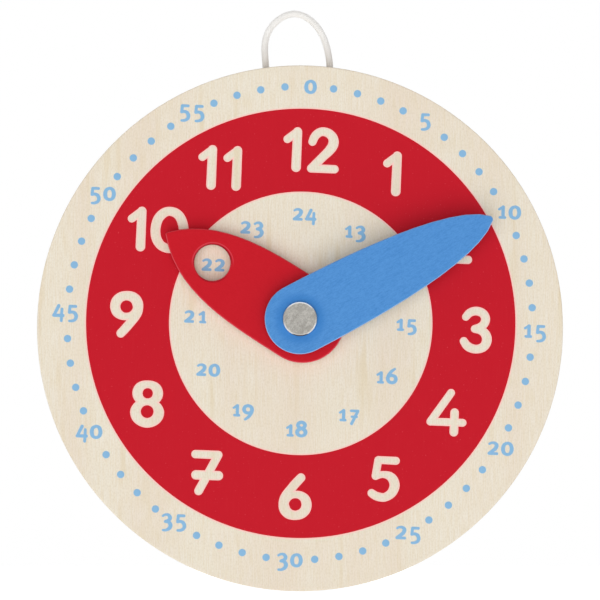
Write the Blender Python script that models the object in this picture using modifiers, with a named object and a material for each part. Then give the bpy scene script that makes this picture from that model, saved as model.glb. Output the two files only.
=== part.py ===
"""Wooden teaching clock: a round plywood dial board with two hands on one rivet.

Lengths are in metres. The clock hangs upright: +Z is the top of the board and the dial
faces -Y. The origin is the middle of the board's front face.

The pieces are modelled flat, as they would lie on a bench: there X is to the right, Y is
towards the top of the board and Z is towards the person who looks at the dial. One empty,
the bench, then stands all of it upright.
"""
import math

import bmesh
import bpy
from mathutils import Vector
from mathutils.geometry import interpolate_bezier

# Board
BOARD_DIAMETER = 0.160
BOARD_THICKNESS = 0.008
BOARD_EDGE_ROUND = 0.0004
BOARD_SIDES = 144

# Where the hands turn and what they show
PIVOT_RISE = 0.0029                     # the pivot hole's height over the board's middle
DIAL_TURN = math.radians(2.3)           # the dial's 12 lies a little clockwise of the top
HOUR_SHOWN = math.radians(300.3)        # the hour hand points at ten
MINUTE_SHOWN = math.radians(60)         # the minute hand shows ten past

# Clearances
FACE_GAP = 0.0003                       # between the faces of the pieces on the rivet
BORE_GAP = 0.0003                       # round the rivet, in every hole
CUT_OVERRUN = 0.001                     # how far each cutter runs past the face it cuts

# Hour hand
HOUR_LENGTH = 0.0483                    # from the pivot to the tip
HOUR_BASE_RADIUS = 0.0129
HOUR_BASE_SET = 0.0009                  # how far the base's middle lies behind the pivot
HOUR_THICKNESS = 0.003
HOUR_EDGE_ROUND = 0.0005
HOUR_TIP_RADIUS = 0.0008
HOUR_TIP_SLOPE = math.radians(47.9)     # between the tip's side and the hand's axis
HOUR_SHOULDER = 0.0169                  # how far the side keeps the base's direction
HOUR_TAPER = 0.0179                     # how far the side keeps the tip's direction
WINDOW_RADIUS = 0.0055
WINDOW_REACH = 0.0316                   # from the pivot to the window's middle

# Minute hand
MINUTE_LENGTH = 0.0659
MINUTE_BASE_RADIUS = 0.0107
MINUTE_THICKNESS = 0.003
MINUTE_EDGE_ROUND = 0.0004
MINUTE_TIP_RADIUS = 0.0012
MINUTE_TIP_SLOPE = math.radians(44.4)
MINUTE_SHOULDER = 0.0075
MINUTE_TAPER = 0.0148

# Rivet
SHANK_RADIUS = 0.0025
HEAD_RADIUS = 0.0052
HEAD_THICKNESS = 0.0012
HEAD_ROUND = 0.0005
TAIL_BORE_RADIUS = 0.0017
TAIL_BORE_DEPTH = 0.0045
TAIL_CONE_DEPTH = 0.0008                # the drill point at the bottom of the tail's bore
TAIL_LIP_RADIUS = 0.0039
TAIL_LIP_THICKNESS = 0.0008
TAIL_SINK = 0.0002                      # how far the tail stays below the board's back

# Washers
FIBRE_RADIUS = 0.0055
FIBRE_THICKNESS = 0.0005
SPRING_RADIUS = 0.0062
SPRING_THICKNESS = 0.0003
SPRING_DISH = 0.0004                    # how far the spring washer's middle stands up
BACK_WASHER_RADIUS = 0.0060
BACK_WASHER_THICKNESS = 0.0008
RECESS_GAP = 0.0006                     # between the washers' edge and the recess's wall

# Hanging cord, glued into two holes in the board's edge
CORD_DIAMETER = 0.0021
CORD_HOLE_GAP = 0.0003
CORD_HOLE_DEPTH = 0.012
CORD_LEFT_ANGLE = math.radians(-7.45)   # clockwise from the top of the board
CORD_RIGHT_ANGLE = math.radians(6.5)
CORD_POINT_STEP = 0.0025
CORD_ROUTE = [                          # the free loop's middle line: right, up
    (-0.0106, 0.0821),
    (-0.01075, 0.0847),
    (-0.0106, 0.0873),
    (-0.0099, 0.0898),
    (-0.0086, 0.0920),
    (-0.0067, 0.0939),
    (-0.0045, 0.0952),
    (-0.0019, 0.0958),
    (0.0007, 0.0953),
    (0.0030, 0.0940),
    (0.0051, 0.0920),
    (0.0067, 0.0895),
    (0.0078, 0.0869),
    (0.0085, 0.0842),
    (0.0089, 0.0818),
]

# Fineness of the curved surfaces
TURNED_SIDES = 48
CUTTER_SIDES = 48
ROUND_STEPS = 4                         # flats in a quarter of a turned rounding
OUTLINE_STEPS = 14                      # points in each of a hand outline's curves
HOLE_STEPS = 10                         # points in each quarter of a hand's hole
EDGE_STEPS = 2
BOARD_EDGE_STEPS = 3
CORD_ROUND_STEPS = 2
RIM_STEPS = 4                           # stretches of the cord's route in each of its holes
ROUTE_STEPS = 8                         # stretches between two points of the cord's route
WELD_DISTANCE = 0.00001
SHARP_ANGLE = math.radians(40)
ARC_HANDLE_SHARE = 0.5523               # handle over radius of a Bezier quarter circle
ROUTE_HANDLE_SHARE = 1 / 6              # handle over the span between a point's neighbours

# Places on the rivet's axis, counted from the board's front face towards the viewer
BOARD_WASHER_BACK = FACE_GAP
BOARD_WASHER_FRONT = BOARD_WASHER_BACK + FIBRE_THICKNESS
HOUR_BACK = BOARD_WASHER_FRONT + FACE_GAP
HOUR_FRONT = HOUR_BACK + HOUR_THICKNESS
HAND_WASHER_BACK = HOUR_FRONT + FACE_GAP
HAND_WASHER_FRONT = HAND_WASHER_BACK + FIBRE_THICKNESS
MINUTE_BACK = HAND_WASHER_FRONT + FACE_GAP
MINUTE_FRONT = MINUTE_BACK + MINUTE_THICKNESS
HEAD_BACK = MINUTE_FRONT + FACE_GAP
HEAD_FRONT = HEAD_BACK + HEAD_THICKNESS

# The same behind the board, worked out from its back face inwards
BOARD_BACK = -BOARD_THICKNESS
TAIL_END = BOARD_BACK + TAIL_SINK
TAIL_SEAT = TAIL_END + TAIL_LIP_THICKNESS
BACK_WASHER_BACK = TAIL_SEAT + FACE_GAP
BACK_WASHER_FRONT = BACK_WASHER_BACK + BACK_WASHER_THICKNESS
SPRING_BACK = BACK_WASHER_FRONT + FACE_GAP
SPRING_FRONT = SPRING_BACK + SPRING_THICKNESS + SPRING_DISH
RECESS_FLOOR = SPRING_FRONT + FACE_GAP
RECESS_RADIUS = max(SPRING_RADIUS, BACK_WASHER_RADIUS) + RECESS_GAP
BORE_RADIUS = SHANK_RADIUS + BORE_GAP
CORD_RADIUS = CORD_DIAMETER / 2
CORD_HOLE_RADIUS = CORD_RADIUS + CORD_HOLE_GAP


def clear_scene():
    for obj in list(bpy.data.objects):
        bpy.data.objects.remove(obj, do_unlink=True)


def new_collection(name):
    collection = bpy.data.collections.new(name)
    bpy.context.scene.collection.children.link(collection)
    return collection


def new_material(name, color, roughness, metallic):
    material = bpy.data.materials.new(name)
    material.use_nodes = True
    shader = material.node_tree.nodes["Principled BSDF"]
    shader.inputs["Base Color"].default_value = (*color, 1)
    shader.inputs["Roughness"].default_value = roughness
    shader.inputs["Metallic"].default_value = metallic
    return material


def new_bench(collection):
    """The empty that stands the flat-modelled clock upright."""
    bench = bpy.data.objects.new("bench", None)
    bench.rotation_euler = (math.radians(90), 0, 0)
    collection.objects.link(bench)
    return bench


def add_object(name, data, material, collection, parent):
    obj = bpy.data.objects.new(name, data)
    obj.parent = parent
    collection.objects.link(obj)
    if material is not None:
        data.materials.append(material)
    return obj


def shade_round(mesh):
    mesh.shade_smooth()
    mesh.set_sharp_from_angle(angle=SHARP_ANGLE)


def cylinder_mesh(name, radius, low, high, sides):
    """A closed cylinder round Z between two heights."""
    bm = bmesh.new()
    bmesh.ops.create_cone(
        bm, cap_ends=True, segments=sides, radius1=radius, radius2=radius, depth=high - low)
    bmesh.ops.translate(bm, verts=bm.verts, vec=(0, 0, (low + high) / 2))
    mesh = bpy.data.meshes.new(name)
    bm.to_mesh(mesh)
    bm.free()
    return mesh


def add_cutter(name, radius, low, high, cutters, parent):
    obj = add_object(name, cylinder_mesh(name, radius, low, high, CUTTER_SIDES), None, cutters, parent)
    obj.hide_render = True
    obj.display_type = "WIRE"
    return obj


def cut(target, cutter):
    boolean = target.modifiers.new(cutter.name, "BOOLEAN")
    boolean.operation = "DIFFERENCE"
    boolean.solver = "EXACT"
    boolean.object = cutter


def turned_mesh(name, profile, closed):
    """The profile's mesh, lying in the XZ plane, for a Screw modifier to turn round Z."""
    mesh = bpy.data.meshes.new(name)
    bm = bmesh.new()
    verts = [bm.verts.new((radius, 0, height)) for radius, height in profile]
    for first, second in zip(verts, verts[1:]):
        bm.edges.new((first, second))
    if closed:
        bm.edges.new((verts[-1], verts[0]))
    bm.to_mesh(mesh)
    bm.free()
    return mesh


def add_turned(name, profile, closed, material, collection, parent):
    obj = add_object(name, turned_mesh(name, profile, closed), material, collection, parent)
    screw = obj.modifiers.new("turn", "SCREW")
    screw.steps = TURNED_SIDES
    screw.render_steps = TURNED_SIDES
    screw.use_merge_vertices = True
    screw.merge_threshold = WELD_DISTANCE
    screw.use_smooth_shade = False
    return obj


def quarter(center_radius, center_height, radius, start_degrees, end_degrees):
    """Points of an arc in a turned profile, by angles counted from straight outwards."""
    points = []
    for step in range(ROUND_STEPS + 1):
        angle = math.radians(start_degrees + (end_degrees - start_degrees) * step / ROUND_STEPS)
        points.append((center_radius + radius * math.cos(angle), center_height + radius * math.sin(angle)))
    return points


def add_board(collection, cutters, bench, material):
    """The plywood disc with its pivot hole, the recess behind it and the two cord holes."""
    mesh = cylinder_mesh("dial_board", BOARD_DIAMETER / 2, BOARD_BACK, 0, BOARD_SIDES)
    shade_round(mesh)
    board = add_object("dial_board", mesh, material, collection, bench)
    rounding = board.modifiers.new("edge_round", "BEVEL")
    rounding.width = BOARD_EDGE_ROUND
    rounding.segments = BOARD_EDGE_STEPS
    rounding.limit_method = "ANGLE"

    bore = add_cutter(
        "pivot_hole", BORE_RADIUS, BOARD_BACK - CUT_OVERRUN, CUT_OVERRUN, cutters, bench)
    recess = add_cutter(
        "back_recess", RECESS_RADIUS, BOARD_BACK - CUT_OVERRUN, RECESS_FLOOR, cutters, bench)
    for cutter in (bore, recess):
        cutter.location = (0, PIVOT_RISE, 0)
        cut(board, cutter)

    rim = BOARD_DIAMETER / 2
    for side, angle in (("left", CORD_LEFT_ANGLE), ("right", CORD_RIGHT_ANGLE)):
        hole = add_cutter(
            f"cord_hole_{side}", CORD_HOLE_RADIUS, rim - CORD_HOLE_DEPTH, rim + CUT_OVERRUN,
            cutters, bench)
        hole.location = (0, 0, -BOARD_THICKNESS / 2)
        hole.rotation_euler = (math.radians(-90), 0, -angle)
        cut(board, hole)


def bezier_loop(curve, knots, steps):
    """One closed Bezier outline from (knot, handle before it, handle after it) triples."""
    spline = curve.splines.new("BEZIER")
    spline.bezier_points.add(len(knots) - 1)
    for point, (knot, before, after) in zip(spline.bezier_points, knots):
        point.co = (*knot, 0)
        point.handle_left_type = "FREE"
        point.handle_right_type = "FREE"
        point.handle_left = (*before, 0)
        point.handle_right = (*after, 0)
    spline.use_cyclic_u = True
    spline.resolution_u = steps


def circle_knots(center_y, radius):
    handle = radius * ARC_HANDLE_SHARE
    knots = []
    for step in range(4):
        angle = math.radians(90) * step
        out = Vector((math.cos(angle), math.sin(angle)))
        along = Vector((-out.y, out.x))
        knot = Vector((0, center_y)) + out * radius
        knots.append((knot, knot - along * handle, knot + along * handle))
    return knots


def hand_knots(length, base_radius, base_set, tip_radius, tip_slope, shoulder, taper):
    """A hand's outline, pointing up: round base, bowed sides and a small round tip."""
    base_middle = Vector((0, -base_set))
    base_handle = base_radius * ARC_HANDLE_SHARE
    tip_center = length - tip_radius
    flank = Vector((tip_radius * math.cos(tip_slope), tip_center + tip_radius * math.sin(tip_slope)))
    down_side = Vector((math.sin(tip_slope), -math.cos(tip_slope)))
    tip_turn = math.radians(90) - tip_slope
    tip_handle = tip_radius * math.tan(tip_turn / 4) * 4 / 3
    hip = base_middle + Vector((base_radius, 0))
    right = [
        (hip, hip - Vector((0, base_handle)), hip + Vector((0, shoulder))),
        (flank, flank + down_side * taper, flank - down_side * tip_handle),
    ]
    mirror = Vector((-1, 1))
    left = [(knot * mirror, after * mirror, before * mirror) for knot, before, after in reversed(right)]
    along_base = Vector((base_handle, 0))
    along_tip = Vector((tip_handle, 0))
    base = base_middle - Vector((0, base_radius))
    tip = Vector((0, length))
    return [
        (base, base - along_base, base + along_base),
        *right,
        (tip, tip + along_tip, tip - along_tip),
        *left,
    ]


def add_hand(name, outline, holes, back, front, edge_round, shown, collection, bench, material):
    """A flat hand with rounded edges; its origin is on the pivot's axis."""
    curve = bpy.data.curves.new(name, "CURVE")
    curve.dimensions = "2D"
    curve.fill_mode = "BOTH"
    curve.extrude = (front - back) / 2 - edge_round
    curve.bevel_depth = edge_round
    curve.bevel_resolution = EDGE_STEPS
    curve.offset = -edge_round
    bezier_loop(curve, outline, OUTLINE_STEPS)
    for center_y, radius in holes:
        bezier_loop(curve, circle_knots(center_y, radius), HOLE_STEPS)
    flat = add_object(f"{name}_outline", curve, None, collection, None)

    depsgraph = bpy.context.evaluated_depsgraph_get()
    mesh = bpy.data.meshes.new_from_object(flat.evaluated_get(depsgraph))
    mesh.name = name
    bm = bmesh.new()
    bm.from_mesh(mesh)
    bmesh.ops.remove_doubles(bm, verts=bm.verts, dist=WELD_DISTANCE)
    bm.to_mesh(mesh)
    bm.free()
    bpy.data.objects.remove(flat, do_unlink=True)
    shade_round(mesh)

    hand = add_object(name, mesh, material, collection, bench)
    hand.location = (0, PIVOT_RISE, (back + front) / 2)
    hand.rotation_euler = (0, 0, -(DIAL_TURN + shown))
    return hand


def add_hour_hand(collection, bench, material):
    outline = hand_knots(
        HOUR_LENGTH, HOUR_BASE_RADIUS, HOUR_BASE_SET, HOUR_TIP_RADIUS, HOUR_TIP_SLOPE,
        HOUR_SHOULDER, HOUR_TAPER)
    holes = [(0, BORE_RADIUS), (WINDOW_REACH, WINDOW_RADIUS)]
    add_hand(
        "hour_hand", outline, holes, HOUR_BACK, HOUR_FRONT, HOUR_EDGE_ROUND, HOUR_SHOWN,
        collection, bench, material)


def add_minute_hand(collection, bench, material):
    outline = hand_knots(
        MINUTE_LENGTH, MINUTE_BASE_RADIUS, 0, MINUTE_TIP_RADIUS, MINUTE_TIP_SLOPE,
        MINUTE_SHOULDER, MINUTE_TAPER)
    holes = [(0, BORE_RADIUS)]
    add_hand(
        "minute_hand", outline, holes, MINUTE_BACK, MINUTE_FRONT, MINUTE_EDGE_ROUND, MINUTE_SHOWN,
        collection, bench, material)


def add_rivet(collection, bench, material):
    """Flat head, solid shank, and a hollow tail rolled outwards over the back washer."""
    lip_round = TAIL_LIP_THICKNESS / 2
    lip_middle = TAIL_LIP_RADIUS - lip_round
    flare = TAIL_LIP_THICKNESS
    bore_top = TAIL_END + TAIL_BORE_DEPTH
    profile = [(0, HEAD_FRONT)]
    profile += quarter(HEAD_RADIUS - HEAD_ROUND, HEAD_FRONT - HEAD_ROUND, HEAD_ROUND, 90, 0)
    profile += [(HEAD_RADIUS, HEAD_BACK), (SHANK_RADIUS, HEAD_BACK), (SHANK_RADIUS, TAIL_SEAT)]
    profile += quarter(lip_middle, TAIL_SEAT - lip_round, lip_round, 90, -90)
    profile += quarter(TAIL_BORE_RADIUS + flare, TAIL_END + flare, flare, -90, -180)
    profile += [(TAIL_BORE_RADIUS, bore_top), (0, bore_top + TAIL_CONE_DEPTH)]
    rivet = add_turned("pivot_rivet", profile, False, material, collection, bench)
    rivet.location = (0, PIVOT_RISE, 0)


def add_washer(name, radius, inner_back, outer_back, thickness, collection, bench, material):
    """A washer on the rivet; a dished one has its inner edge further forward."""
    profile = [
        (BORE_RADIUS, inner_back + thickness),
        (radius, outer_back + thickness),
        (radius, outer_back),
        (BORE_RADIUS, inner_back),
    ]
    washer = add_turned(name, profile, True, material, collection, bench)
    washer.location = (0, PIVOT_RISE, 0)


def rim_points(angle):
    """The cord's straight stretch in one of the board's holes, from its end to the rim."""
    out = Vector((math.sin(angle), math.cos(angle)))
    rim = BOARD_DIAMETER / 2
    inner = rim - CORD_HOLE_DEPTH + CORD_HOLE_GAP
    depth = rim - inner
    return [out * (inner + depth * step / RIM_STEPS) for step in range(RIM_STEPS + 1)]


def smooth_route(points):
    """Evenly spaced points on a smooth curve through the route's own points."""
    dense = [points[0]]
    for index in range(len(points) - 1):
        before = points[max(index - 1, 0)]
        start = points[index]
        end = points[index + 1]
        after = points[min(index + 2, len(points) - 1)]
        leave = start + (end - before) * ROUTE_HANDLE_SHARE
        arrive = end - (after - start) * ROUTE_HANDLE_SHARE
        dense += interpolate_bezier(start, leave, arrive, end, ROUTE_STEPS)[1:]

    total = sum((b - a).length for a, b in zip(dense, dense[1:]))
    count = round(total / CORD_POINT_STEP)
    even = [dense[0]]
    walked = 0
    for a, b in zip(dense, dense[1:]):
        length = (b - a).length
        while len(even) < count and walked + length >= total * len(even) / count:
            even.append(a.lerp(b, (total * len(even) / count - walked) / length))
        walked += length
    even.append(dense[-1])
    return even


def add_cord(collection, bench, material):
    """The braided loop: one length of cord with both ends glued into the board's edge."""
    free = [Vector(point) for point in CORD_ROUTE]
    route = rim_points(CORD_LEFT_ANGLE) + free + rim_points(CORD_RIGHT_ANGLE)[::-1]
    middle = -BOARD_THICKNESS / 2
    points = smooth_route([Vector((point.x, point.y, middle)) for point in route])

    curve = bpy.data.curves.new("hanging_cord", "CURVE")
    curve.dimensions = "3D"
    curve.bevel_depth = CORD_RADIUS
    curve.bevel_resolution = CORD_ROUND_STEPS
    curve.use_fill_caps = True
    spline = curve.splines.new("POLY")
    spline.points.add(len(points) - 1)
    for knot, point in zip(spline.points, points):
        knot.co = (*point, 1)
    add_object("hanging_cord", curve, material, collection, bench)


def build_clock():
    clear_scene()
    clock = new_collection("wooden_teaching_clock")
    cutters = new_collection("cutters")
    bench = new_bench(clock)

    plywood = new_material("birch_plywood", (0.78, 0.72, 0.56), 0.55, 0)
    red = new_material("red_lacquer", (0.55, 0.014, 0.024), 0.45, 0)
    blue = new_material("blue_lacquer", (0.090, 0.285, 0.67), 0.45, 0)
    steel = new_material("nickelled_steel", (0.46, 0.45, 0.42), 0.35, 1)
    spring = new_material("spring_steel", (0.30, 0.30, 0.31), 0.4, 1)
    fibre = new_material("black_fibre", (0.03, 0.03, 0.03), 0.7, 0)
    braid = new_material("white_braid", (0.80, 0.78, 0.74), 0.8, 0)

    add_board(clock, cutters, bench, plywood)
    add_washer(
        "board_washer", FIBRE_RADIUS, BOARD_WASHER_BACK, BOARD_WASHER_BACK, FIBRE_THICKNESS,
        clock, bench, fibre)
    add_hour_hand(clock, bench, red)
    add_washer(
        "hand_washer", FIBRE_RADIUS, HAND_WASHER_BACK, HAND_WASHER_BACK, FIBRE_THICKNESS,
        clock, bench, fibre)
    add_minute_hand(clock, bench, blue)
    add_washer(
        "spring_washer", SPRING_RADIUS, SPRING_BACK + SPRING_DISH, SPRING_BACK, SPRING_THICKNESS,
        clock, bench, spring)
    add_washer(
        "back_washer", BACK_WASHER_RADIUS, BACK_WASHER_BACK, BACK_WASHER_BACK,
        BACK_WASHER_THICKNESS, clock, bench, steel)
    add_rivet(clock, bench, steel)
    add_cord(clock, bench, braid)


build_clock()
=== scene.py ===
import math

import bmesh
import bpy
import numpy as np
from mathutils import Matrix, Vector
from mathutils.geometry import convex_hull_2d, delaunay_2d_cdt, interpolate_bezier


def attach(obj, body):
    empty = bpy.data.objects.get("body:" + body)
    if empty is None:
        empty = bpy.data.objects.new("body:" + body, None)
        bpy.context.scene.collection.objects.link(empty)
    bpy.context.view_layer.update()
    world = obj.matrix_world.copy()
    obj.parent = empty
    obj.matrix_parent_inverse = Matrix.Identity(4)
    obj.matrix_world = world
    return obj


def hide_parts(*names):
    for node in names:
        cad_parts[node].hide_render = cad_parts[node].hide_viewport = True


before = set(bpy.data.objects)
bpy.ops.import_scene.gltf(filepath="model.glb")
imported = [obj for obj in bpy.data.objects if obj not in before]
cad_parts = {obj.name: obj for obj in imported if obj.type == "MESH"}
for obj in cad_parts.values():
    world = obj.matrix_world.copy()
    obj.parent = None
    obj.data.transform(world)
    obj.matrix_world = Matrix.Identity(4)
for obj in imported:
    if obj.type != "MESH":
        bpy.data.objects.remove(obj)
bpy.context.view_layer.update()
scene = bpy.context.scene
mm = 0.001
fullTurn = 2 * math.pi
print("frame loaded with", len(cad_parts), "nodes")

# The dial faces -Y, x runs to the right and z up, and the board's front face lies at y = 0.


# camera: square to the dial, as in the photograph
view = {
    "distance": 2.0,           # in front of the board's face
    "pictureWidth": 0.18249,   # what the picture spans at the board's face
    "sensorWidth": 36.0,
    "height": 0.00862,         # above the board's middle
}
cameraData = bpy.data.cameras.new("camera")
cameraData.sensor_width = view["sensorWidth"]
cameraData.lens = view["sensorWidth"] * view["distance"] / view["pictureWidth"]
camera = bpy.data.objects.new("camera", cameraData)
camera.location = (0, -view["distance"], view["height"])
camera.rotation_euler = (math.radians(90), 0, 0)
scene.collection.objects.link(camera)
scene.camera = camera
print("camera ready, lens", round(cameraData.lens, 1))


def addPiece(name, mesh, body):
    piece = bpy.data.objects.new(name, mesh)
    scene.collection.objects.link(piece)
    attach(piece, body)
    return piece


def throughPoints(knots, steps, share=1 / 6):
    # a smooth line through the knots; it is closed when the last knot is the first one
    points = [Vector(knot) for knot in knots]
    if len(points) == 2:
        return points
    closed = (points[0] - points[-1]).length == 0
    before = points[-2] if closed else points[0]
    after = points[1] if closed else points[-1]
    chain = [before, *points, after]
    line = []
    for last, here, there, following in zip(chain, chain[1:], chain[2:], chain[3:]):
        leave = here + (there - last) * share
        arrive = there - (following - here) * share
        line += interpolate_bezier(here, leave, arrive, there, steps + 1)[:-1]
    return [*line, points[-1]]


def evenly(line, step):
    # the same line with its points evenly spaced
    total = sum((b - a).length for a, b in zip(line, line[1:]))
    count = round(total / step)
    even = [line[0]]
    walked = 0
    for a, b in zip(line, line[1:]):
        length = (b - a).length
        while len(even) < count and walked + length >= total * len(even) / count:
            even.append(a.lerp(b, (total * len(even) / count - walked) / length))
        walked += length
    return [*even, line[-1]]


# hanging cord: one length of round braid, both ends glued into the board's edge
cord = {
    "diameter": 0.0021,
    "behindFace": 0.004,
    "rimRadius": 0.080,
    "holeEndRadius": 0.0683,
    "holeAngles": (-7.45, 6.5),   # clockwise from the board's top
    "ringStep": 0.00013,          # between the braid's rings of points
    "around": 48,
    "strands": 8,                 # that turn each way
    "lay": 0.0062,                # the length of one full turn of a strand
    "relief": 0.0001,             # from a strand's crown down to the gap beside it
    "dipShare": 0.45,             # how high a strand still lies where it goes under another
    "routeSteps": 8,              # of the smooth line, from one point of the route to the next
}
loopRoute = [                     # the free loop's middle line: right, up
    (-0.0106, 0.0821),
    (-0.01075, 0.0847),
    (-0.0106, 0.0873),
    (-0.0099, 0.0898),
    (-0.0086, 0.0920),
    (-0.0067, 0.0939),
    (-0.0045, 0.0952),
    (-0.0019, 0.0958),
    (0.0007, 0.0953),
    (0.0030, 0.0940),
    (0.0051, 0.0920),
    (0.0067, 0.0895),
    (0.0078, 0.0869),
    (0.0085, 0.0842),
    (0.0089, 0.0818),
]


def holeStretch(degrees, stretches=4):
    angle = math.radians(degrees)
    reach = cord["rimRadius"] - cord["holeEndRadius"]
    radii = [cord["holeEndRadius"] + reach * i / stretches for i in range(stretches + 1)]
    return [(radius * math.sin(angle), radius * math.cos(angle)) for radius in radii]


def strandHeight(around, along):
    # 1 on the crown of the strand on top, 0 in the gap between two strands
    left = (around + along) * cord["strands"]
    right = (around - along) * cord["strands"]
    leftOnTop = (math.floor(left) + math.floor(right)) % 2 == 0
    across = (left if leftOnTop else right) % 1
    run = (right if leftOnTop else left) % 1
    crown = math.sqrt(max(0, 1 - (2 * across - 1) ** 2))
    arch = math.sin(math.pi * run)
    return crown * (cord["dipShare"] + (1 - cord["dipShare"]) * arch)


def braidMesh(name, line):
    rings = []
    lifts = []
    walked = 0
    side = Vector((0, 1, 0))      # the loop lies in one plane, so this stays square to it
    for i, point in enumerate(line):
        ahead = (line[min(i + 1, len(line) - 1)] - line[max(i - 1, 0)]).normalized()
        out = ahead.cross(side)
        walked += (point - line[i - 1]).length if i else 0
        ring = []
        for j in range(cord["around"]):
            turn = j / cord["around"]
            lifts.append(strandHeight(turn, walked / cord["lay"]))
            radius = cord["diameter"] / 2 - cord["relief"] * (1 - lifts[-1])
            away = side * math.sin(turn * fullTurn) + out * math.cos(turn * fullTurn)
            ring.append(point + away * radius)
        rings.append(ring)
    corners = [corner for ring in rings for corner in ring]
    faces = []
    for i in range(len(rings) - 1):
        for j in range(cord["around"]):
            k = (j + 1) % cord["around"]
            low, high = i * cord["around"], (i + 1) * cord["around"]
            faces.append((low + j, high + j, high + k, low + k))
    faces.append(tuple(range(cord["around"])))
    faces.append(tuple(reversed(range(len(corners) - cord["around"], len(corners)))))
    mesh = bpy.data.meshes.new(name)
    mesh.from_pydata(corners, [], faces)
    mesh.attributes.new("lift", "FLOAT", "POINT").data.foreach_set("value", lifts)
    mesh.shade_smooth()
    return mesh


leftEnd, rightEnd = (holeStretch(angle) for angle in cord["holeAngles"])
routeKnots = [(x, cord["behindFace"], z) for x, z in [*leftEnd, *loopRoute, *rightEnd[::-1]]]
cordLine = evenly(throughPoints(routeKnots, cord["routeSteps"]), cord["ringStep"])
cordLength = sum((b - a).length for a, b in zip(cordLine, cordLine[1:]))
braidedCord = addPiece("braided_cord", braidMesh("braided_cord", cordLine), "board")
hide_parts("hanging_cord")
cordLine[::8] + cordLine[-1:]
print("cord ready,", round(cordLength / mm, 1), "mm long")


# dial print: numerals are pen strokes, each a smooth line through (x, y, pen radius) in millimetres
dial = {
    "middle": (0.22, 1.51),       # of the print, right of and above the board's middle
    "turn": 2.3,                  # degrees clockwise
    "inkFront": 0.03,             # the ink's face, in front of the board's
    "inkBack": 0.05,              # the ink's back, sunk in the wood
    "ringOuter": 65.31,
    "ringInner": 40.06,
    "ringSides": 240,
    "dotRadius": 1.13,
    "dotSides": 32,
    "dotReach": (70.8, 72.0),     # across and up; the real print is a little oval
    "dotShift": (-0.27, 0.06),    # of all the dots, from the print's middle
    "largeSpacing": {"10": 10.04, "11": 7.63, "12": 9.3},
    "digitWidth": 4.3,            # from one small digit's middle to the next one's
    "narrowPairs": {"21": 3.94},
    "daySize": 0.91,              # of the 24-hour numerals beside the minute numerals
    "largeBold": 0.935,           # how bold the pens are
    "minuteBold": 0.94,
    "dayBold": 1.0,
    "penSides": 28,
    "penSteps": 5,
    "sameSpot": 0.00001,          # spots that lie closer become one
}
bleed = {                         # thin red that crept into the wood round the ring and its numerals
    "width": 0.42,
    "front": 0.012,
    "back": 0.06,
}
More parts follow.
